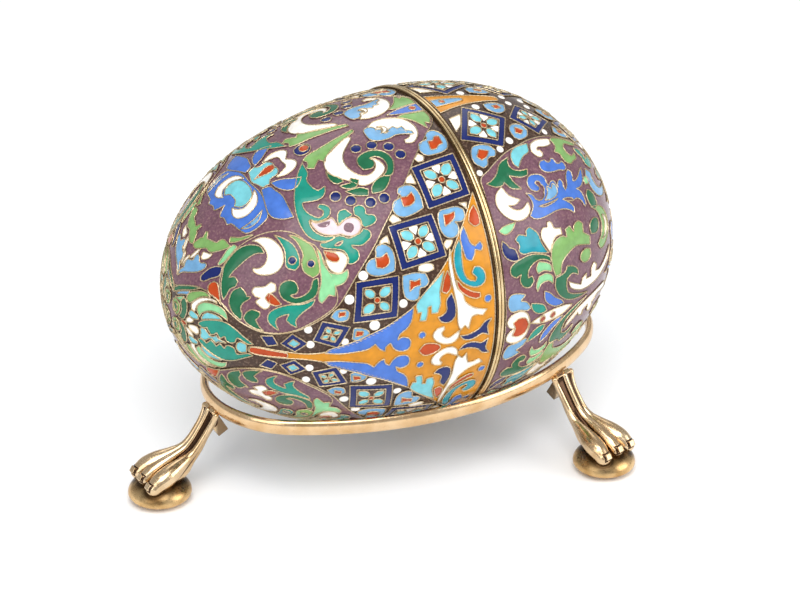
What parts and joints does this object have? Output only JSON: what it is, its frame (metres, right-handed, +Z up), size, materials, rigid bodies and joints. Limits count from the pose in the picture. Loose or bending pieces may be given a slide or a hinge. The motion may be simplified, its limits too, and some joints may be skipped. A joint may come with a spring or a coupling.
{
  "type": "decorative egg on stand",
  "caption": "Hollow cloisonne-enamelled egg box that parts at a gilt rim and lies on its side in an oval gilt ring stand on paw legs with ball feet.",
  "frame": {"origin": "on the surface the stand rests on, under the middle of the bounding box", "axes": "+X along the egg's long axis towards its blunt end, +Z up, +Y towards the rear leg"},
  "size_m": [0.1108, 0.0832, 0.0778],
  "materials": {
    "gilt_stand": "satin gilding on a bent strip of oval section, darker patina on its inner side",
    "gilt_legs": "cast and polished gilding, with dark oxidised grooves",
    "gilt_feet": "satin gilding, rubbed",
    "gilt_shell": "gilded inside, brushed",
    "enamel": "opaque cloisonne enamel in many colours between twisted wires",
    "gilt_rim": "polished gilding",
    "gilt_wire": "twisted gilt wire"
  },
  "bodies": {
    "stand": {"stand_ring": "gilt_stand", "leg_tip_end": "gilt_legs", "leg_front": "gilt_legs", "leg_rear": "gilt_legs", "ball_foot_tip_end": "gilt_feet", "ball_foot_front": "gilt_feet", "ball_foot_rear": "gilt_feet"},
    "pointed_half": {"pointed_shell": "gilt_shell", "pointed_enamel": "enamel", "pointed_rim": "gilt_rim", "pointed_border_wire": "gilt_wire", "inner_sleeve": "gilt_shell"},
    "blunt_half": {"blunt_shell": "gilt_shell", "blunt_enamel": "enamel", "blunt_rim": "gilt_rim", "blunt_border_wire": "gilt_wire"}
  },
  "joints": [
    {"name": "egg_lift", "type": "slide", "parent": "stand", "child": "pointed_half", "axis": [0, 0, 1], "range_m": [0, 0.07]},
    {"name": "cap_pull", "type": "slide", "parent": "pointed_half", "child": "blunt_half", "axis": [1, 0, 0], "range_m": [0, 0.035]}
  ],
  "couplings": [
    {"joint": "cap_pull", "follows": "egg_lift", "ratio": 0.5}
  ]
}
